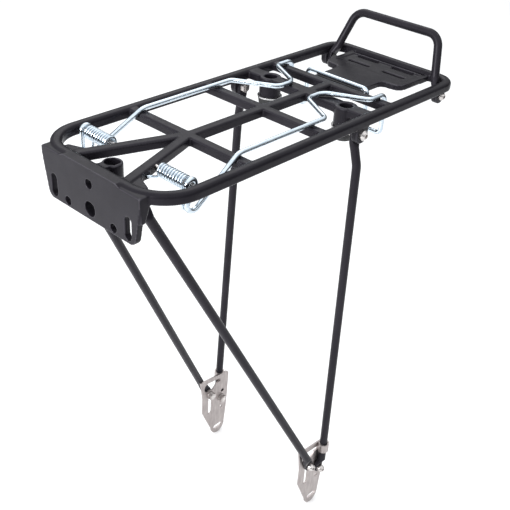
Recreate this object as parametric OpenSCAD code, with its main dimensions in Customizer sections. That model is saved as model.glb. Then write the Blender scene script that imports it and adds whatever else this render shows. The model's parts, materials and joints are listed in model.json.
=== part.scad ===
// Rear rack with a cast platform, a spring clip, a folding tail hoop, four rod legs and
// two slotted foot plates. Millimetres, +Z up. The bicycle travels towards -Y, so +X is the
// rider's left.
// The origin is the centre of the large bore in the front mounting plate, on its front face.

/* [Platform] */
// Height of the deck plane, which the clip lies on, above the front mounting bore
deck_z = 34; // [32:0.5:36]
// Length of the platform from the front face to the rear edge
deck_length = 371.7; // [366:0.1:378]
// Distance between the centre lines of the two side rails
rail_spacing = 139.2; // [138.4:0.2:140.4]
// Width of the rail that runs round the platform
rail_w = 9.4; // [9:0.2:10]
// Height of the rail
rail_h = 9; // [8.6:0.2:9.6]
// Centre line radius of the two front corners
front_corner_r = 32; // [29:1:33]
// Centre line radius of the two rear corners
rear_corner_r = 15; // [14:0.5:15]
// Width of the bars inside the rail
bar_w = 9; // [8:0.5:10]
// How far the bars lie below the deck plane
bar_drop = 1.9; // [1.8:0.1:2.2]
// Distances of the four cross bars from the front face
cross_bar_y = [96, 181.3, 239, 270.5];

/* [Front plate] */
// Width of the front mounting plate at its top
plate_w = 113; // [110:1:114]
// Height of the front mounting plate below the rail top
plate_h = 43.5; // [43:0.5:46]
// Thickness of the front mounting plate
plate_t = 5.6; // [5:0.2:6]
// Diameter of the large centre bore
centre_bore_d = 11.8; // [10:0.2:12.4]
// Depth of the centre bore through its boss
bore_depth = 12; // [9:0.5:13]
// Distance between the two adjusting slots
slot_spacing = 86.4; // [85:0.2:88]

/* [Sockets] */
// Outer diameter of the two rear adapter sockets
rear_socket_d = 20; // [19:0.5:21]
// Outer diameter of the front adapter socket
front_socket_d = 16; // [15.6:0.2:17]
// Bore of all three adapter sockets
socket_bore_d = 12; // [11.4:0.2:12.4]
// Distance between the two rear sockets
socket_spacing = 88; // [86:1:90]

/* [Rods and wire] */
// Diameter of the leg and hoop rods
rod_d = 8; // [7.6:0.2:8.4]
// Thickness of a flattened rod end
tongue_t = 3.5; // [3:0.1:3.8]
// Diameter of the spring clip's wire
clip_d = 4.2; // [4:0.1:4.2]
// Diameter of the torsion springs' wire
spring_d = 2.2; // [2:0.1:2.2]
// Diameter of the clip's pivot pins
pivot_d = 4; // [3.8:0.1:4]

/* [Hidden] */
$fn = 48;
eps = 0.01;

// Platform layout, seen from above
rail_x = rail_spacing / 2;
rail_z = deck_z - 1;
front_rail_y = rail_w / 2 + 2.3;
rear_rail_y = deck_length - rail_w / 2;
bar_z = deck_z - bar_drop;
bar_h = 7.6;
brace_foot_x = 29.5;

// Socket layout
front_socket_y = 22;
rear_socket_y = cross_bar_y[2];
socket_x = socket_spacing / 2;
front_socket_top = deck_z - 2.5;
rear_socket_top = deck_z - 2;
socket_h = 18;
socket_arm_w = 14;

// Rear leg ears and front leg ears under the rail
rear_ear = [rail_x + 1.4, 225, deck_z - 15.5];
front_ear = [33.75, 15, deck_z - 18.5];
ear_t = 6;

// Slots for the rear lamp
lamp_slot_x = 20.5;
lamp_slot_y = [341.5, 357.3];

// Tail hoop: the pivot lugs hang under the rail near its rear corners
hoop_pivot = [rail_x - 3.3, 350.7, deck_z - 14.2];
hoop_top = [47.5, 366.8, deck_z + 34.3];
hoop_bend_r = 14;
hoop_tongue_x = hoop_pivot[0] - ear_t / 2 - tongue_t / 2;

// Spring clip route on the +X side, from the front arm to the finger bar
clip_pivot = [0, 43.5, deck_z - 5.2];
clip_z = deck_z + 0.8;
clip_rear_y = 281;
loop_x = 60;
loop_r = 7;
eye_r = pivot_d / 2 + clip_d / 2 + 0.06;
loop_c = [clip_pivot[1] - eye_r + loop_r, deck_z - 19.5];
tail_hole = [31, deck_z - 6.6];

// Feet
foot_x = 72.7;
foot_t = 2;
foot_front_bolt = [202.8, deck_z - 387.8];
foot_rear_bolt = [220.6, deck_z - 402.3];
eyelet = [216.5, deck_z - 444.5];

// ---- vectors and rods ----

function unit(v) = v / norm(v);
function mirror_x(p) = [-p[0], p[1], p[2]];
function turn_angle(a, b) = acos(min(1, max(-1, unit(a) * unit(b))));

// Straight round bar between two points
module rod(p, q, d) {
    v = q - p;
    translate(p)
        rotate([0, acos(v[2] / norm(v)), atan2(v[1], v[0])])
            cylinder(d = d, h = norm(v));
}

// Round elbow of bend radius r at corner b of the route a, b, c
module elbow(a, b, c, r, d) {
    d1 = unit(b - a);
    d2 = unit(c - b);
    theta = turn_angle(d1, d2);
    centre = b + unit(d2 - d1) * r / cos(theta / 2);
    w = unit(cross(d1, d2));
    u = cross(d1, w);
    multmatrix([
        [u[0], d1[0], w[0], centre[0]],
        [u[1], d1[1], w[1], centre[1]],
        [u[2], d1[2], w[2], centre[2]],
        [0, 0, 0, 1]
    ])
        rotate_extrude(angle = theta) translate([r, 0]) circle(d = d);
}

// Length that a bend takes from each of its two straight legs
function bend_trim(a, b, c, r) = r * tan(turn_angle(b - a, c - b) / 2);

// Hair-wide sleeve that joins a straight to an elbow at p, where the rod runs along dir
module joint_sleeve(p, dir, d) {
    v = unit(dir) * 0.2;
    rod(p - v, p + v, d + 0.04);
}

// Rod along a list of corners; radii holds one bend radius for each inner corner
module bent_rod(pts, radii, d) {
    last = len(pts) - 1;
    for (i = [0 : last - 1]) {
        dir = unit(pts[i + 1] - pts[i]);
        cut_a = i == 0 ? 0 : bend_trim(pts[i - 1], pts[i], pts[i + 1], radii[i - 1]);
        cut_b = i == last - 1 ? 0 : bend_trim(pts[i], pts[i + 1], pts[i + 2], radii[i]);
        p = pts[i] + dir * cut_a;
        q = pts[i + 1] - dir * cut_b;
        rod(p, q, d);
        if (i > 0) {
            elbow(pts[i - 1], pts[i], pts[i + 1], radii[i - 1], d);
            joint_sleeve(p, dir, d);
        }
        if (i < last - 1) joint_sleeve(q, dir, d);
    }
}

// Copies children to both sides of the rack
module both_sides() {
    children();
    mirror([1, 0, 0]) children();
}

// Disc or cylinder along X, centred on p
module x_disc(p, d, t) {
    translate(p) rotate([0, 90, 0]) cylinder(d = d, h = t, center = true);
}

// ---- platform casting ----

// Section of the rail: crowned top corners and small bottom corners
module rail_section() {
    top_r = 3.6;
    low_r = 1.4;
    half = rail_w / 2;
    translate([-half, -rail_h + low_r]) square([rail_w, rail_h - low_r - top_r]);
    translate([-half + top_r, -top_r - eps]) square([rail_w - 2 * top_r, top_r + eps]);
    translate([-half + low_r, -rail_h]) square([rail_w - 2 * low_r, low_r + eps]);
    for (s = [-1, 1]) {
        translate([s * (half - top_r), -top_r]) circle(r = top_r);
        translate([s * (half - low_r), -rail_h + low_r]) circle(r = low_r);
    }
}

// Straight stretch of rail from a to b, both [x, y]
module rail_run(a, b) {
    v = b - a;
    translate([a[0], a[1], rail_z])
        rotate([0, 0, atan2(v[1], v[0])])
            rotate([90, 0, 90])
                linear_extrude(height = norm(v)) rail_section();
}

// Quarter of a corner with its centre at c, starting at angle a0
module rail_corner(c, r, a0) {
    translate([c[0], c[1], rail_z])
        rotate([0, 0, a0])
            rotate_extrude(angle = 90) translate([r, 0]) rail_section();
}

module rail_loop() {
    fr = front_corner_r;
    rr = rear_corner_r;
    rail_run([-rail_x + fr, front_rail_y], [rail_x - fr, front_rail_y]);
    rail_run([-rail_x + rr, rear_rail_y], [rail_x - rr, rear_rail_y]);
    both_sides() {
        rail_run([rail_x, front_rail_y + fr], [rail_x, rear_rail_y - rr]);
        rail_corner([rail_x - fr, front_rail_y + fr], fr, -90);
        rail_corner([rail_x - rr, rear_rail_y - rr], rr, 0);
    }
}

// Round lug that hangs under the rail, with a hole along X
module hanging_lug(p, d, hole_d) {
    root_z = rail_z - rail_h + 1;
    difference() {
        union() {
            x_disc(p, d, ear_t);
            translate([p[0] - ear_t / 2, p[1] - d / 2, p[2]]) cube([ear_t, d, root_z - p[2]]);
        }
        x_disc(p, hole_d, ear_t + 1);
        translate([p[0] - 10, p[1] - 20, root_z]) cube([20, 40, 20]);
    }
}

module platform_ring() {
    color("#2b2b2e") {
        difference() {
            rail_loop();
            both_sides() x_disc([rail_x - rail_w / 2 + 2, clip_pivot[1], clip_pivot[2]], pivot_d, 5);
        }
        both_sides() {
            hanging_lug(rear_ear, 16, 5.2);
            hanging_lug(hoop_pivot, 15, 5.2);
        }
    }
}

// Flat bar between two plan points, with chamfered top edges
module bar(a, b, w) {
    v = b - a;
    c = 1.2;
    translate([a[0], a[1], bar_z])
        rotate([0, 0, atan2(v[1], v[0])])
            rotate([90, 0, 90])
                linear_extrude(height = norm(v))
                    polygon([[-w / 2, -bar_h], [w / 2, -bar_h], [w / 2, -c], [w / 2 - c, 0],
                             [c - w / 2, 0], [-w / 2, -c]]);
}

// Everything that carries the load inside the rail
module bar_lattice() {
    inner = rail_x - rail_w / 2 + 3;
    for (i = [0, 1, 3]) bar([-inner, cross_bar_y[i]], [inner, cross_bar_y[i]], bar_w);
    bar([-socket_x, rear_socket_y], [socket_x, rear_socket_y], socket_arm_w);
    bar([0, cross_bar_y[0]], [0, cross_bar_y[3]], bar_w);
    both_sides() {
        bar([0, cross_bar_y[0] + 2], [brace_foot_x, 11], bar_w);
        spring_anchor();
        front_ear_block();
    }
}

// Corner web between brace and front rail that anchors the torsion spring's tail
module spring_anchor() {
    translate([0, 0, bar_z - bar_h])
        linear_extrude(height = bar_h - 1.5)
            polygon([[brace_foot_x - 4, 11], [46, 11], [46, 17], [33, 22], [28, 27],
                     [28, 34.5], [24, 34.5]]);
}

// Ear under the foot of the brace for the front leg's bolt
module front_ear_block() {
    difference() {
        union() {
            x_disc(front_ear, 14, ear_t);
            translate([front_ear[0] - ear_t / 2, front_ear[1] - 7, front_ear[2]])
                cube([ear_t, 14, bar_z - bar_h - front_ear[2] + 1]);
        }
        x_disc(front_ear, 5.2, ear_t + 1);
    }
}

module socket_hole(x, y, d) {
    translate([x, y, deck_z - 60]) cylinder(d = d, h = 120);
}

module deck_bars() {
    color("#303034")
        difference() {
            bar_lattice();
            rail_loop();
            socket_hole(0, front_socket_y, front_socket_d);
            both_sides() {
                socket_hole(socket_x, rear_socket_y, rear_socket_d);
                x_disc([22, clip_pivot[1], clip_pivot[2]], pivot_d, 10);
                x_disc([26, tail_hole[0], tail_hole[1]], spring_d + 0.4, 8);
                clip_arm_relief();
            }
            translate([-60, -1, deck_z - 100]) cube([120, front_rail_y + 1, 200]);
        }
}

// Outline of the front plate, seen from the front with y as height
module plate_outline() {
    r = 7;
    low_x = plate_w / 2 - 5 - r;
    hull() {
        for (s = [-1, 1]) translate([s * low_x, -plate_h + r]) circle(r = r);
        translate([-plate_w / 2, -rail_h]) square([plate_w, 5]);
    }
}

// Vertical slot with round ends
module slot_2d(w, l) {
    square([w, l - w], center = true);
    for (s = [-1, 1]) translate([0, s * (l - w) / 2]) circle(d = w);
}

module plate_cutouts() {
    for (s = [-1, 1]) {
        translate([s * slot_spacing / 2, -31.3]) slot_2d(7, 19);
        translate([s * 26.8, -38.2]) circle(d = 7);
    }
    translate([0, -deck_z]) circle(d = centre_bore_d);
    translate([0, -13.6]) circle(d = 7.5);
}

// Side flange that ties the plate's edge back to the rail
module plate_flange() {
    translate([plate_w / 2 - 3.2, 0, deck_z])
        rotate([90, 0, 90])
            linear_extrude(height = 3.2)
                polygon([[1, -rail_h - 0.5], [10, -rail_h - 0.5], [plate_t - 0.4, -23.5], [1, -23.5]]);
}

// Ledge between the plate's face and the rail, raised in the middle
module plate_brow() {
    side_top = 2.6;
    middle_top = 1;
    low = rail_h + 1;
    translate([-plate_w / 2, 0, deck_z - low]) cube([plate_w, 10, low - side_top]);
    translate([0, 5, deck_z])
        rotate([90, 0, 0])
            linear_extrude(height = 5)
                polygon([[-34, -low], [34, -low], [34, -side_top], [31, -middle_top],
                         [-31, -middle_top], [-34, -side_top]]);
}

module front_plate() {
    color("#3a3a3e")
        difference() {
            union() {
                translate([0, plate_t, deck_z])
                    rotate([90, 0, 0])
                        linear_extrude(height = plate_t)
                            difference() {
                                plate_outline();
                                plate_cutouts();
                            }
                both_sides() plate_flange();
                // Boss behind the centre bore
                translate([0, plate_t - 1, 0])
                    rotate([-90, 0, 0]) cylinder(d = 19, h = bore_depth - plate_t + 1);
                plate_brow();
            }
            rail_loop();
            translate([0, -1, 0]) rotate([-90, 0, 0]) cylinder(d = centre_bore_d, h = 40);
        }
}

// Plan outline of the lamp plate
module lamp_outline() {
    front = cross_bar_y[3] + bar_w / 2;
    half = [[25, front], [25, 311], [26, 314.5], [29, 316.5], [37, 317.5], [41, 318.7], [44, 321.8],
            [45, 326], [45.5, 345], [46.5, 368]];
    polygon(concat(half, [for (i = [len(half) - 1 : -1 : 0]) [-half[i][0], half[i][1]]]));
}

module lamp_slots() {
    for (x = [-lamp_slot_x, lamp_slot_x], y = lamp_slot_y)
        translate([x, y]) rotate([0, 0, 90]) slot_2d(4.5, 25);
}

module lamp_plate() {
    top = deck_z - 4.4;
    color("#3a3a3e")
        difference() {
            translate([0, 0, top - 5.6]) linear_extrude(height = 5.6) lamp_outline();
            translate([0, 0, top - 6]) linear_extrude(height = 10) lamp_slots();
            // Shallow tray between the raised edges, and a groove along the rail
            translate([-40, 331, top - 1.4]) cube([80, 27.3, 3]);
            translate([-42, 360.5, top - 2]) cube([84, 2.4, 3]);
            rail_loop();
        }
}

// Round socket for a luggage adapter's peg, with a soft rim
module socket(x, y, top, d) {
    translate([x, y, top - socket_h])
        rotate_extrude()
            difference() {
                union() {
                    translate([socket_bore_d / 2, 0])
                        square([(d - socket_bore_d) / 2, socket_h - 1.5]);
                    translate([socket_bore_d / 2, 0])
                        square([(d - socket_bore_d) / 2 - 1.5, socket_h]);
                    translate([d / 2 - 1.5, socket_h - 1.5]) circle(r = 1.5);
                }
                translate([-1, -1]) square([1 + socket_bore_d / 2, socket_h + 3]);
            }
}

module front_socket() {
    color("#303034")
        difference() {
            union() {
                socket(0, front_socket_y, front_socket_top, front_socket_d);
                // Neck that ties the socket to the front rail
                translate([-5, front_rail_y, rail_z - rail_h + 0.5])
                    cube([10, front_socket_y - front_rail_y, 7]);
            }
            rail_loop();
            socket_hole(0, front_socket_y, socket_bore_d);
        }
}

module rear_socket_left() {
    color("#303034") {
        socket(socket_x, rear_socket_y, rear_socket_top, rear_socket_d);
        // Outer arm from the socket to the side rail
        difference() {
            bar([socket_x, rear_socket_y], [rail_x, rear_socket_y], socket_arm_w);
            socket_hole(socket_x, rear_socket_y, rear_socket_d - 1);
            rail_run([rail_x, rear_socket_y - 40], [rail_x, rear_socket_y + 40]);
        }
    }
}

module rear_socket_right() {
    mirror([1, 0, 0]) rear_socket_left();
}

// Steel snap ring under the rear socket
module socket_ring_left() {
    color("#b9b9b6")
        translate([socket_x, rear_socket_y, rear_socket_top - socket_h - 1.4])
            difference() {
                cylinder(d = rear_socket_d + 3, h = 1.4);
                translate([0, 0, -1]) cylinder(d = socket_bore_d, h = 4);
            }
}

module socket_ring_right() {
    mirror([1, 0, 0]) socket_ring_left();
}

// Tapered plastic cup that closes the rear socket from below
module socket_cup_left() {
    z0 = rear_socket_top - socket_h - 1.4;
    h = 11;
    color("#1d1d20")
        translate([socket_x, rear_socket_y, z0 - h])
            difference() {
                union() {
                    translate([0, 0, 3]) cylinder(d1 = 19, d2 = 22, h = h - 3);
                    cylinder(d1 = 16, d2 = 19, h = 3);
                }
                translate([0, 0, 2]) cylinder(d = socket_bore_d, h = h);
                for (a = [0 : 30 : 330])
                    rotate([0, 0, a]) translate([11.2, 0, -1]) cylinder(d = 2.4, h = h - 2);
            }
}

module socket_cup_right() {
    mirror([1, 0, 0]) socket_cup_left();
}

// ---- spring clip ----

// The +X half of the clip's route behind the arm, as corners with their bend radii
clip_pts = [
    [54.5, 96, clip_z], [54.5, 197.5, clip_z], [17, 219, clip_z], [17, 239, clip_z],
    [54.5, 258.5, clip_z], [54.5, clip_rear_y, clip_z], [54.5, clip_rear_y, deck_z - 37],
    [35, clip_rear_y, deck_z - 37], [35, clip_rear_y, deck_z - 1.4]
];
clip_radii = [18, 6, 10, 13, 7, 8, 5, 5, 5];

// The arm leaves the loop on the tangent through the first corner
arm_v = [clip_pts[0][1], clip_pts[0][2]] - loop_c;
foot_angle = atan2(arm_v[1], arm_v[0]) - acos(loop_r / norm(arm_v));
arm_foot = loop_c + loop_r * [cos(foot_angle), sin(foot_angle)];

// Part of a circle in a plane square to X, from angle a0 (0 is +Y, 90 is +Z)
module x_arc(x, c, r, a0, sweep, d) {
    translate([x, c[0], c[1]])
        rotate([90, 0, 90])
            rotate([0, 0, a0])
                rotate_extrude(angle = sweep) translate([r, 0]) circle(d = d);
}

// Front end of one arm: the eye over the pivot pin and the loop that hangs below it
module clip_front_end() {
    pin = [clip_pivot[1], clip_pivot[2]];
    x_arc(loop_x, loop_c, loop_r, 180, 180 + foot_angle, clip_d);
    rod([loop_x, loop_c[0] - loop_r, loop_c[1]], [loop_x, pin[0] - eye_r, pin[1]], clip_d);
    x_arc(loop_x, pin, eye_r, -60, 240, clip_d);
    joint_sleeve([loop_x, loop_c[0] - loop_r, loop_c[1]], [0, 0, 1], clip_d);
    joint_sleeve([loop_x, pin[0] - eye_r, pin[1]], [0, 0, 1], clip_d);
}

// Hollow where the arm comes up past the first cross bar
module clip_arm_relief() {
    start = [loop_x, arm_foot[0], arm_foot[1]];
    way = unit(clip_pts[0] - start);
    rod(clip_pts[0] - way * 16, clip_pts[0] + way * 1.5, clip_d + 1.6);
}

module spring_clip() {
    start = [loop_x, arm_foot[0], arm_foot[1]];
    half = concat([start], clip_pts);
    finger = clip_pts[len(clip_pts) - 1];
    color("#c9ced2") {
        both_sides() {
            clip_front_end();
            joint_sleeve(start, [0, -sin(foot_angle), cos(foot_angle)], clip_d);
            bent_rod(concat(half, [[0, finger[1], finger[2]]]), clip_radii, clip_d);
        }
    }
}

// Pin from the brace to the side rail that carries the clip and its spring
module pivot_pin_left() {
    color("#8f9194")
        rod([18.5, clip_pivot[1], clip_pivot[2]],
            [rail_x - rail_w / 2 + 4, clip_pivot[1], clip_pivot[2]], pivot_d);
}

module pivot_pin_right() {
    mirror([1, 0, 0]) pivot_pin_left();
}

// ---- torsion springs ----

coil_turns = 10;
coil_r = 4.7;
coil_x0 = 28.5;
coil_x1 = 55.5;
coil_steps = 16;

// Helix round the pivot pin, from the inner end outwards
function coil_pts() = [
    for (i = [0 : coil_turns * coil_steps])
        let (a = -90 + 360 * i / coil_steps, s = i / (coil_turns * coil_steps))
            [coil_x0 + (coil_x1 - coil_x0) * s,
             clip_pivot[1] + coil_r * cos(a), clip_pivot[2] + coil_r * sin(a)]
];

// Tail from the hole in the corner web to the coil, and hook from the coil to the clip's loop
spring_tail = [
    [22.8, tail_hole[0], tail_hole[1]], [27.3, tail_hole[0], tail_hole[1]], [28.1, 31.2, 27.3],
    [28.7, 31.6, 27.2], [29.2, 32.3, 27.1], [29.3, 33.2, 26.9], [29.2, 35, 26.2],
    [28.8, 37.2, 25.3], [28.6, 39.5, 24.5], [28.5, 41.5, 24.2]
];
spring_hook = [
    [55.7, 45.3, 23.9], [55.9, 46.7, 23.1], [56.1, 47.3, 21.6], [56.3, 47.2, 19],
    [56.4, 46.3, 13.5], [56.4, 44.9, 10.3], [56.4, 42.8, 8.6], [56.4, 40.6, 8.9],
    [56.4, 39.1, 10.6], [56.4, 38.6, 13], [56.4, 38.6, 15.8]
];
spring_route = concat(spring_tail, coil_pts(), spring_hook);

function route_dir(p, i) = unit(p[min(i + 1, len(p) - 1)] - p[max(i - 1, 0)]);
function square_to(v, t) = unit(v - t * (v * t));
// Side vectors carried along the route without twisting
function carried(p, i = 1, acc = [[0, 0, 1]]) =
    i == len(p) ? acc : carried(p, i + 1, concat(acc, [square_to(acc[i - 1], route_dir(p, i))]));

module swept_wire(p, d, sides) {
    first = route_dir(p, 0);
    side = carried(p, 1, [square_to([0, 0.3, 1], first)]);
    n = len(p);
    pts = [
        for (i = [0 : n - 1])
            let (t = route_dir(p, i), u = side[i], v = cross(t, u))
                for (k = [0 : sides - 1])
                    p[i] + d / 2 * (u * cos(360 * k / sides) + v * sin(360 * k / sides))
    ];
    walls = [
        for (i = [0 : n - 2], k = [0 : sides - 1])
            let (a = i * sides + k, b = i * sides + (k + 1) % sides)
                [a, a + sides, b + sides, b]
    ];
    polyhedron(
        points = pts,
        faces = concat(walls, [[for (k = [0 : sides - 1]) k]],
                       [[for (k = [sides - 1 : -1 : 0]) (n - 1) * sides + k]]),
        convexity = 20
    );
}

module torsion_spring_left() {
    color("#b4b8bb") swept_wire(spring_route, spring_d, 8);
}

module torsion_spring_right() {
    mirror([1, 0, 0]) torsion_spring_left();
}

// ---- rods with flattened ends ----

// Flattened end square to X: a disc with its hole at p and a neck that blends into the rod,
// which starts at q and runs along dir. Each piece ends inside the next one.
module tongue(p, q, dir, w) {
    way = unit([0, q[1] - p[1], q[2] - p[2]]);
    flat = w * 0.6;
    lap = 0.2;
    x_disc(p, w, tongue_t);
    along_way(p, way)
        translate([0, (flat - lap) / 2, 0]) cube([tongue_t - 0.1, flat - lap, w - 0.4], center = true);
    hull($fn = 32) {
        along_way(p, way) translate([0, flat - 0.3, 0]) cube([tongue_t, 1, w - 0.1], center = true);
        rod(q - dir * lap, q + dir * 0.8, rod_d + 0.2);
    }
}

// Turns children so that their +Y points along way, a direction square to X
module along_way(p, way) {
    translate(p) rotate([atan2(way[2], way[1]), 0, 0]) children();
}

module tail_hoop() {
    eye = [hoop_tongue_x, hoop_pivot[1], hoop_pivot[2]];
    up = unit([hoop_top[0] - eye[0], hoop_top[1] - eye[1], hoop_top[2] - eye[2]]);
    low = eye + up * 13;
    difference() {
        color("#2b2b2e") {
            both_sides() tongue(eye, low, up, 10);
            bent_rod([low, hoop_top, mirror_x(hoop_top), mirror_x(low)],
                     [hoop_bend_r, hoop_bend_r], rod_d);
        }
        x_disc([0, hoop_pivot[1], hoop_pivot[2]], 5.1, 160);
    }
}

module leg(top, top_neck, low_neck, low, knees, knee_r) {
    route = concat([top_neck], knees, [low_neck]);
    n = len(route);
    color("#2b2b2e")
        difference() {
            union() {
                tongue(top, top_neck, unit(route[1] - top_neck), 11);
                tongue(low, low_neck, unit(route[n - 2] - low_neck), 11);
                bent_rod(route, [for (k = knees) knee_r], rod_d);
            }
            x_disc(top, 5.2, 20);
            x_disc(low, 5.2, 20);
        }
}

foot_tongue_x = foot_x + foot_t + tongue_t / 2;
leg_foot_x = 79;

module rear_leg_left() {
    top = [rear_ear[0] - ear_t / 2 - tongue_t / 2, rear_ear[1], rear_ear[2]];
    low = [foot_tongue_x, foot_rear_bolt[0], foot_rear_bolt[1]];
    leg(top, top + [0.8, 0.4, -13], [leg_foot_x, 221.8, deck_z - 389], low,
        [[71, 226.8, deck_z - 46]], 30);
}

module rear_leg_right() {
    mirror([1, 0, 0]) rear_leg_left();
}

module front_leg_left() {
    top = [front_ear[0] + ear_t / 2 + tongue_t / 2, front_ear[1], front_ear[2]];
    low = [foot_tongue_x, foot_front_bolt[0], foot_front_bolt[1]];
    leg(top, [40.2, 21.4, deck_z - 32], [leg_foot_x + 0.4, 194.6, deck_z - 370.5], low,
        [], 0);
}

module front_leg_right() {
    mirror([1, 0, 0]) front_leg_left();
}

// ---- foot plates ----

// Turns an outline drawn in Y and Z into a plate that is t thick from x
module side_plate(x, t) {
    translate([x, 0, 0]) rotate([90, 0, 90]) linear_extrude(height = t) children();
}

module foot_outline() {
    z = deck_z;
    polygon([
        [187, z - 361.8], [228.5, z - 366.6], [231.5, z - 369.5], [229.8, z - 413], [226.5, z - 446],
        [207.2, z - 446.5], [191.5, z - 411], [191.5, z - 389], [189, z - 372]
    ]);
    translate([eyelet[0], eyelet[1]]) circle(r = 10);
}

module foot_cutouts() {
    z = deck_z;
    // Window under the top edge
    translate([199.3, z - 374.4]) circle(r = 6.2);
    polygon([
        [198, z - 368.3], [216.5, z - 370.4], [218.5, z - 372], [218.5, z - 375.4], [212.3, z - 376],
        [210.6, z - 378.4], [206.5, z - 382], [202, z - 380]
    ]);
    // Adjusting slot for the front leg, and the row of holes for the rear leg
    translate([foot_front_bolt[0], z - 400.8]) slot_2d(5.6, 32.4);
    translate([foot_rear_bolt[0], foot_rear_bolt[1]]) circle(d = 5.2);
    translate([222.3, z - 392]) circle(d = 4.6);
    translate([221.3, z - 416.6]) circle(d = 4.6);
    // Eyelet slot
    translate([eyelet[0], eyelet[1]]) rotate([0, 0, 90]) slot_2d(5.6, 14);
}

module foot_plate_left() {
    clamp_y = 222.3;
    clamp_z = deck_z - 376.5;
    clamp_h = 10.5;
    color("#b3aba8") {
        side_plate(foot_x, foot_t)
            difference() {
                foot_outline();
                foot_cutouts();
            }
        // Band that wraps the rear leg
        difference() {
            translate([leg_foot_x - 0.3, clamp_y, clamp_z]) cylinder(d = rod_d + 3.4, h = clamp_h);
            translate([leg_foot_x - 0.3, clamp_y, clamp_z - 1])
                cylinder(d = rod_d + 0.5, h = clamp_h + 2);
            translate([foot_x - 20, clamp_y - 20, clamp_z - 1]) cube([20 + foot_t, 40, clamp_h + 2]);
        }
    }
}

module foot_plate_right() {
    mirror([1, 0, 0]) foot_plate_left();
}

// ---- fasteners ----

// Socket screw along +X: p is under the head, which points along +X; shank runs to -X
module x_screw(p, d, shank, head_d, head_h) {
    translate(p) rotate([0, 90, 0])
        difference() {
            union() {
                cylinder(d = head_d, h = head_h * 0.45);
                translate([0, 0, head_h * 0.45])
                    cylinder(d1 = head_d, d2 = head_d * 0.62, h = head_h * 0.55);
            }
            translate([0, 0, head_h - 1.8]) cylinder(d = head_d * 0.42, h = 3, $fn = 6);
        }
    translate(p) rotate([0, -90, 0]) cylinder(d = d, h = shank);
}

// Hexagon nut along X, from p towards -X
module x_nut(p, d, af, t) {
    translate(p) rotate([0, -90, 0])
        difference() {
            cylinder(d = af / cos(30), h = t, $fn = 6);
            translate([0, 0, -1]) cylinder(d = d, h = t + 2);
        }
}

module rear_leg_bolts() {
    p = [rear_ear[0] + ear_t / 2, rear_ear[1], rear_ear[2]];
    color("#a8a5a2") both_sides() x_screw(p, 5, ear_t + tongue_t + 5, 9, 4);
}

module rear_leg_nuts() {
    p = [rear_ear[0] - ear_t / 2 - tongue_t, rear_ear[1], rear_ear[2]];
    color("#b9b0ac") both_sides() x_nut(p, 5, 8, 4);
}

module front_leg_bolts() {
    p = [front_ear[0] + ear_t / 2 + tongue_t, front_ear[1], front_ear[2]];
    color("#a8a5a2") both_sides() x_screw(p, 5, ear_t + tongue_t + 5, 9, 4);
}

module front_leg_nuts() {
    p = [front_ear[0] - ear_t / 2, front_ear[1], front_ear[2]];
    color("#b9b0ac") both_sides() x_nut(p, 5, 8, 4);
}

module hoop_screws() {
    p = [hoop_pivot[0] + ear_t / 2, hoop_pivot[1], hoop_pivot[2]];
    color("#9a9a98") both_sides() x_screw(p, 5, ear_t + tongue_t + 6, 7.8, 4);
}

module hoop_nuts() {
    p = [hoop_tongue_x - tongue_t / 2 - 0.3, hoop_pivot[1], hoop_pivot[2]];
    color("#2b2b2e") both_sides() x_nut(p, 5, 8, 4);
}

module foot_bolts() {
    color("#c4c0bc")
        both_sides()
            for (b = [foot_front_bolt, foot_rear_bolt])
                x_screw([foot_x + foot_t + tongue_t, b[0], b[1]], 5, foot_t + tongue_t + 5, 8.6, 5.4);
}

module foot_washers() {
    color("#b9b0ac")
        both_sides()
            for (b = [foot_front_bolt, foot_rear_bolt])
                difference() {
                    x_disc([foot_x - 0.5, b[0], b[1]], 9.6, 1);
                    x_disc([foot_x - 0.5, b[0], b[1]], 5.1, 2);
                }
}

module foot_nuts() {
    color("#b9b0ac")
        both_sides()
            for (b = [foot_front_bolt, foot_rear_bolt])
                x_nut([foot_x - 1, b[0], b[1]], 5, 8, 4);
}

// ---- assembly ----

platform_ring();
deck_bars();
front_plate();
lamp_plate();
front_socket();
rear_socket_right();
rear_socket_left();
socket_ring_right();
socket_ring_left();
socket_cup_right();
socket_cup_left();
spring_clip();
pivot_pin_right();
pivot_pin_left();
torsion_spring_right();
torsion_spring_left();
tail_hoop();
hoop_screws();
hoop_nuts();
front_leg_right();
front_leg_left();
rear_leg_right();
rear_leg_left();
front_leg_bolts();
front_leg_nuts();
rear_leg_bolts();
rear_leg_nuts();
foot_plate_right();
foot_plate_left();
foot_bolts();
foot_washers();
foot_nuts();
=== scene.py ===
"""Looks for the rear rack: finishes, soft edges, lights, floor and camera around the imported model.

Metres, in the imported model's own frame: -Y is the bicycle's front, +X the rider's left, +Z up.
"""

import json
import math

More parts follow.
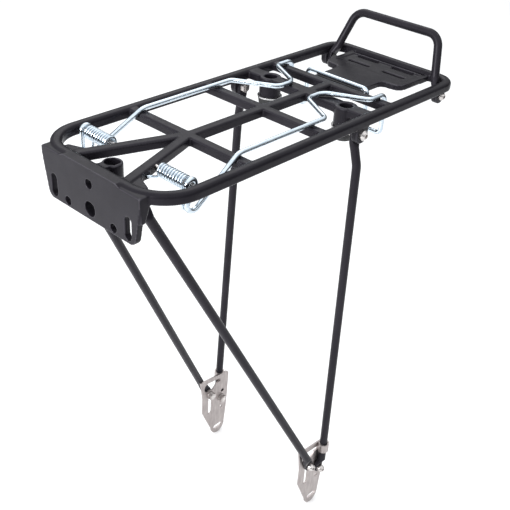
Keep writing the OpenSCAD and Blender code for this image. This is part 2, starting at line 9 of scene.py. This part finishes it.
import bmesh
import bpy
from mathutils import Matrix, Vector


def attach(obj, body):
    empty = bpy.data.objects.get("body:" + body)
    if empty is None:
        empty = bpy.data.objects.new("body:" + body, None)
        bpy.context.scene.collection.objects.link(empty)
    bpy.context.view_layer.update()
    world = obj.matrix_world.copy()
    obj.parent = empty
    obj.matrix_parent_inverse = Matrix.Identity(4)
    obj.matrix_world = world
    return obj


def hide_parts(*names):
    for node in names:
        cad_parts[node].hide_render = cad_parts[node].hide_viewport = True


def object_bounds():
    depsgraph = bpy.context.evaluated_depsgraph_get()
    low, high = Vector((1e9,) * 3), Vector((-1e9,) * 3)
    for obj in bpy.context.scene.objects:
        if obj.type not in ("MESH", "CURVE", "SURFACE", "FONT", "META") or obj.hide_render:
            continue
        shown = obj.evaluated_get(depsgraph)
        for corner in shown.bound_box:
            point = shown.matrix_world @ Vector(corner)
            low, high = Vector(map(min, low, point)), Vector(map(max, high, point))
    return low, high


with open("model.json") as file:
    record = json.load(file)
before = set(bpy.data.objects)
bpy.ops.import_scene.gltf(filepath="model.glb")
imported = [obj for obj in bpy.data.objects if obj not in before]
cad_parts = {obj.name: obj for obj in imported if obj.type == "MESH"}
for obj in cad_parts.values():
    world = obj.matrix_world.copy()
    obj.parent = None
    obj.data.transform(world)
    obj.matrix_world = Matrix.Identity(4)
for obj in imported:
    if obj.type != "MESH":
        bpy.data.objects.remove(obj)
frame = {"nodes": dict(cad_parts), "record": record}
cad_low, cad_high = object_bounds()

MM = 0.001
NODES = frame["nodes"]
SLOT_OF = {part["node"]: part["material_slot"] for part in frame["record"]["subparts"]}

# The platform is one casting, so its nodes are shown as one skin with cast fillets
CASTING = [
    "platform_ring", "deck_bars", "front_plate", "lamp_plate",
    "front_socket", "rear_socket_left", "rear_socket_right",
]
# Painted rods with forged flat ends
RODS = ["front_leg_left", "front_leg_right", "rear_leg_left", "rear_leg_right"]
SPRINGS = ["torsion_spring_left", "torsion_spring_right"]
# Round wire, which has no long sharp edges to round off
WIRES = ["spring_clip"]

# Voxel sizes of the skins, finer for the thinner pieces
CASTING_VOXEL = 0.75 * MM
ROD_VOXEL = 0.6 * MM
SPRING_VOXEL = 0.2 * MM
# The share of a spring's fine skin that is kept
SPRING_KEEP = 0.5

MERGE_GAP = 0.001 * MM
WELD_GAP = 0.002 * MM
EDGE_ROUND = 0.3 * MM
EDGE_SEGMENTS = 2
SHARP_ANGLE = math.radians(32.0)

# The band that most of a noise texture's values fall in
NOISE_BAND = (0.3, 0.7)
# Mesh pointiness from where the painted highlight on outward edges starts to where it is full
HIGHLIGHT_BAND = (0.515, 0.56)
# The black paint reflects slightly violet
PAINT_TINT = (0.93, 0.9, 1.0, 1.0)

FLOOR_SIZE = 20.0
FLOOR_GAP = 0.5 * MM
# World light: strength at and near the horizon, strength overhead, and the sines of the
# elevations between which one turns into the other
SKY_LOW, SKY_HIGH = 0.08, 1.45
SKY_RISE = (0.15, 0.75)
SKY_COLOUR = (0.97, 0.985, 1.0, 1.0)

# The camera's sensor and lens are in millimetres, as Blender has them, its angles in degrees
SENSOR_WIDTH = 36.0
LENS = 58.68
EYE = (0.4372, -0.3093, 0.3029)
EYE_ANGLES = (57.368, -3.037, 43.543)


# ---- materials ----

class Shade:
    """A material's node tree with short ways to add the few nodes that are used here."""

    def __init__(self, name):
        self.material = bpy.data.materials.new(name)
        self.material.use_nodes = True
        self.tree = self.material.node_tree
        self.bsdf = self.tree.nodes["Principled BSDF"]
        self.place = self.add("ShaderNodeTexCoord").outputs["Object"]

    def add(self, kind, **settings):
        node = self.tree.nodes.new(kind)
        for key, value in settings.items():
            setattr(node, key, value)
        return node

    def link(self, output, node, socket):
        """Feeds an output into a node's named or numbered socket."""
        self.tree.links.new(output, node.inputs[socket])

    def stretched(self, scale):
        """Object coordinates scaled unevenly, for brushed and drawn surfaces."""
        node = self.add("ShaderNodeMapping")
        node.inputs["Scale"].default_value = scale
        self.link(self.place, node, "Vector")
        return node.outputs["Vector"]

    def noise(self, scale, detail=3.0, where=None):
        """Smooth noise, on object coordinates unless where gives others."""
        node = self.add("ShaderNodeTexNoise")
        node.inputs["Scale"].default_value = scale
        node.inputs["Detail"].default_value = detail
        self.link(where or self.place, node, "Vector")
        return node.outputs["Fac"]

    def pits(self, scale):
        """Distance to the nearest of many scattered points, for a pebbled grain."""
        node = self.add("ShaderNodeTexVoronoi", feature="F1")
        node.inputs["Scale"].default_value = scale
        self.link(self.place, node, "Vector")
        return node.outputs["Distance"]

    def spread(self, value, low, high, low_in=0.0, high_in=1.0):
        """Maps value from low_in..high_in onto low..high."""
        node = self.add("ShaderNodeMapRange")
        for socket, number in (("From Min", low_in), ("From Max", high_in),
                               ("To Min", low), ("To Max", high)):
            node.inputs[socket].default_value = number
        self.link(value, node, "Value")
        return node.outputs["Result"]

    def blend(self, factor, first, second):
        """Mixes two colours. Each is a colour or a socket."""
        node = self.add("ShaderNodeMix", data_type="RGBA")
        self.link(factor, node, 0)
        for socket, colour in ((6, first), (7, second)):
            if isinstance(colour, tuple):
                node.inputs[socket].default_value = (*colour, 1.0)
            else:
                self.link(colour, node, socket)
        return node.outputs[2]

    def painted_highlight_mask(self):
        """Where the painted highlight goes: 1 on sharp outward edges, 0 elsewhere."""
        sharp = self.add("ShaderNodeNewGeometry").outputs["Pointiness"]
        return self.spread(sharp, 0.0, 1.0, *HIGHLIGHT_BAND)

    def bump(self, height, strength, distance):
        """Relief on the surface from a height value."""
        node = self.add("ShaderNodeBump")
        node.inputs["Strength"].default_value = strength
        node.inputs["Distance"].default_value = distance
        self.link(height, node, "Height")
        self.link(node.outputs["Normal"], self.bsdf, "Normal")

    def finish(self, colour, roughness, metallic=0.0, specular=0.5):
        """Feeds the shader and returns the finished material."""
        self.link(colour, self.bsdf, "Base Color")
        self.link(roughness, self.bsdf, "Roughness")
        self.bsdf.inputs["Metallic"].default_value = metallic
        self.bsdf.inputs["Specular IOR Level"].default_value = specular
        return self.material


def painted(name, dark, light, edge_highlight, rough, grain_scale, grain_depth, specular):
    """Paint or powder coat with a fine grain, cloudy tone and a painted highlight in a lighter
    colour on its sharp edges.
    """
    shade = Shade(name)
    tone = shade.blend(shade.spread(shade.noise(scale=45.0), 0.0, 1.0, *NOISE_BAND), dark, light)
    # Sharp outward edges get a lighter colour, which is a painted highlight
    colour = shade.blend(shade.painted_highlight_mask(), tone, edge_highlight)
    shade.bump(shade.noise(grain_scale, detail=2.0), strength=0.35, distance=grain_depth)
    shade.bsdf.inputs["Specular Tint"].default_value = PAINT_TINT
    roughness = shade.spread(shade.noise(scale=120.0), *rough, *NOISE_BAND)
    return shade.finish(colour, roughness, specular=specular)


def metal(name, dark, light, rough, stretch, grain_depth):
    """Bare or plated metal with streaks along one direction and clouds of darker metal."""
    shade = Shade(name)
    streaks = shade.noise(scale=1.0, detail=4.0, where=shade.stretched(stretch))
    cloud = shade.noise(scale=160.0)
    tone = shade.blend(shade.spread(streaks, 0.0, 1.0, *NOISE_BAND), dark, light)
    clouded = shade.spread(cloud, 0.0, 0.35, low_in=0.45, high_in=0.75)
    colour = shade.blend(clouded, tone, dark)
    shade.bump(streaks, strength=0.25, distance=grain_depth)
    return shade.finish(colour, shade.spread(cloud, *rough, *NOISE_BAND), metallic=1.0)


def moulded(name, dark, light):
    """Moulded plastic with a pebbled grain."""
    shade = Shade(name)
    colour = shade.blend(shade.noise(scale=70.0), dark, light)
    shade.bump(shade.pits(scale=1400.0), strength=0.3, distance=0.05 * MM)
    return shade.finish(colour, shade.spread(shade.noise(scale=200.0), 0.5, 0.62))


# In the painted finishes below, the lighter colour given for sharp edges is a painted highlight
FINISHES = {
    "cast_black": painted(
        "cast_black", dark=(0.0075, 0.0066, 0.0092), light=(0.012, 0.011, 0.0144),
        edge_highlight=(0.06, 0.057, 0.066), rough=(0.30, 0.38),
        grain_scale=1500.0, grain_depth=0.05 * MM, specular=0.15),
    "rod_black": painted(
        "rod_black", dark=(0.012, 0.0108, 0.014), light=(0.0175, 0.016, 0.0205),
        edge_highlight=(0.035, 0.033, 0.039), rough=(0.32, 0.40),
        grain_scale=900.0, grain_depth=0.015 * MM, specular=0.15),
    "nut_black": painted(
        "nut_black", dark=(0.008, 0.008, 0.009), light=(0.015, 0.015, 0.016),
        edge_highlight=(0.06, 0.06, 0.062), rough=(0.36, 0.46),
        grain_scale=1200.0, grain_depth=0.02 * MM, specular=0.35),
    "spring_zinc": metal(
        "spring_zinc", dark=(0.50, 0.58, 0.66), light=(0.72, 0.80, 0.86),
        rough=(0.12, 0.24), stretch=(900.0, 60.0, 900.0), grain_depth=0.01 * MM),
    "stainless": metal(
        "stainless", dark=(0.34, 0.305, 0.30), light=(0.46, 0.42, 0.41),
        rough=(0.36, 0.48), stretch=(300.0, 500.0, 60.0), grain_depth=0.02 * MM),
    "bolt_steel": metal(
        "bolt_steel", dark=(0.50, 0.47, 0.46), light=(0.68, 0.65, 0.63),
        rough=(0.22, 0.34), stretch=(700.0, 200.0, 200.0), grain_depth=0.01 * MM),
    "nut_steel": metal(
        "nut_steel", dark=(0.44, 0.41, 0.40), light=(0.58, 0.55, 0.54),
        rough=(0.30, 0.42), stretch=(200.0, 500.0, 500.0), grain_depth=0.01 * MM),
    "ring_steel": metal(
        "ring_steel", dark=(0.48, 0.48, 0.48), light=(0.66, 0.66, 0.66),
        rough=(0.24, 0.36), stretch=(400.0, 400.0, 100.0), grain_depth=0.01 * MM),
    "cup_plastic": moulded(
        "cup_plastic", dark=(0.012, 0.012, 0.013), light=(0.02, 0.02, 0.022)),
}


def paint(obj, slot):
    """Gives an object the one finish of its material slot."""
    obj.data.materials.clear()
    obj.data.materials.append(FINISHES[slot])


# ---- shapes ----

def soften(node):
    """Welds a CAD node's split edges and rounds its sharp ones, as a modifier stack."""
    weld = node.modifiers.new("weld", "WELD")
    weld.merge_threshold = WELD_GAP
    bevel = node.modifiers.new("round", "BEVEL")
    bevel.width = EDGE_ROUND
    bevel.segments = EDGE_SEGMENTS
    bevel.limit_method = "ANGLE"
    bevel.angle_limit = SHARP_ANGLE
    bevel.use_clamp_overlap = True
    node.modifiers.new("even", "WEIGHTED_NORMAL").keep_sharp = False


def skin(name, members, voxel, passes, slot, body, keep=1.0):
    """One closed skin over copies of the CAD nodes, with small fillets where they meet.

    passes is how often it is relaxed, and keep is the share of its faces that stays.
    """
    mesh = bpy.data.meshes.new(name)
    shape = bmesh.new()
    for member in members:
        shape.from_mesh(NODES[member].data)
    bmesh.ops.remove_doubles(shape, verts=shape.verts, dist=MERGE_GAP)
    shape.to_mesh(mesh)
    shape.free()
    raw = bpy.data.objects.new(name + "_raw", mesh)
    bpy.context.scene.collection.objects.link(raw)
    remesh = raw.modifiers.new("voxels", "REMESH")
    remesh.mode = "VOXEL"
    remesh.voxel_size = voxel
    remesh.use_smooth_shade = True
    relax = raw.modifiers.new("relax", "SMOOTH")
    relax.factor = 0.5
    relax.iterations = passes
    if keep < 1.0:
        raw.modifiers.new("thin_out", "DECIMATE").ratio = keep
    graph = bpy.context.evaluated_depsgraph_get()
    final = bpy.data.meshes.new_from_object(raw.evaluated_get(graph), depsgraph=graph)
    bpy.data.objects.remove(raw)
    final.name = name
    final.shade_smooth()
    piece = bpy.data.objects.new(name, final)
    bpy.context.scene.collection.objects.link(piece)
    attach(piece, body)
    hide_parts(*members)
    paint(piece, slot)


skin("platform_casting", CASTING, CASTING_VOXEL, 3, "cast_black", "rack")
for rod in RODS:
    skin(rod + "_rod", [rod], ROD_VOXEL, 4, "rod_black", "rack")
skin("tail_hoop_rod", ["tail_hoop"], ROD_VOXEL, 4, "rod_black", "hoop")
for spring in SPRINGS:
    skin(spring + "_wire", [spring], SPRING_VOXEL, 3, "spring_zinc", "rack", SPRING_KEEP)

# The nodes that no skin has replaced show their own CAD mesh
for name, node in NODES.items():
    if node.hide_render:
        continue
    paint(node, SLOT_OF[name])
    if name not in WIRES:
        soften(node)


# ---- floor, light and camera ----

def floor():
    """A plain pale floor just under the feet."""
    bpy.ops.mesh.primitive_plane_add(size=FLOOR_SIZE, location=(0, 0, cad_low.z - FLOOR_GAP))
    plane = bpy.context.object
    plane.name = "studio_floor"
    shade = Shade("studio_floor")
    colour = shade.blend(shade.noise(scale=3.0), (0.84, 0.84, 0.84), (0.86, 0.86, 0.86))
    roughness = shade.spread(shade.noise(scale=9.0), 0.7, 0.8)
    plane.data.materials.append(shade.finish(colour, roughness, specular=0.2))


def softbox(name, place, target, width, height, power):
    """A rectangular area light at place that faces target, its power in watts."""
    data = bpy.data.lights.new(name, "AREA")
    data.shape = "RECTANGLE"
    data.size = width
    data.size_y = height
    data.energy = power
    lamp = bpy.data.objects.new(name, data)
    lamp.location = place
    lamp.rotation_euler = (Vector(target) - Vector(place)).to_track_quat("-Z", "Y").to_euler()
    bpy.context.scene.collection.objects.link(lamp)


def sky():
    """World light that brightens from the horizon to the zenith."""
    world = bpy.data.worlds.new("studio")
    world.use_nodes = True
    tree = world.node_tree
    place = tree.nodes.new("ShaderNodeTexCoord").outputs["Generated"]
    split = tree.nodes.new("ShaderNodeSeparateXYZ")
    ramp = tree.nodes.new("ShaderNodeMapRange")
    for socket, number in (("From Min", SKY_RISE[0]), ("From Max", SKY_RISE[1]),
                           ("To Min", SKY_LOW), ("To Max", SKY_HIGH)):
        ramp.inputs[socket].default_value = number
    tree.links.new(place, split.inputs[0])
    tree.links.new(split.outputs["Z"], ramp.inputs["Value"])
    tree.links.new(ramp.outputs["Result"], tree.nodes["Background"].inputs["Strength"])
    tree.nodes["Background"].inputs["Color"].default_value = SKY_COLOUR
    bpy.context.scene.world = world


def camera():
    """The eye stands ahead of the rack on the rider's left, above the deck."""
    data = bpy.data.cameras.new("studio_camera")
    data.sensor_width = SENSOR_WIDTH
    data.lens = LENS
    eye = bpy.data.objects.new("studio_camera", data)
    eye.location = EYE
    eye.rotation_euler = [math.radians(angle) for angle in EYE_ANGLES]
    bpy.context.scene.collection.objects.link(eye)
    bpy.context.scene.camera = eye


middle = (cad_low + cad_high) / 2
floor()
sky()
softbox("overhead", (-0.9, 0.9, 1.1), middle, width=1.2, height=1.2, power=5.5)
softbox("key", (-0.1, -1.6, 0.5), middle, width=1.0, height=0.8, power=42.0)
camera()
bpy.context.scene.view_settings.view_transform = "Standard"
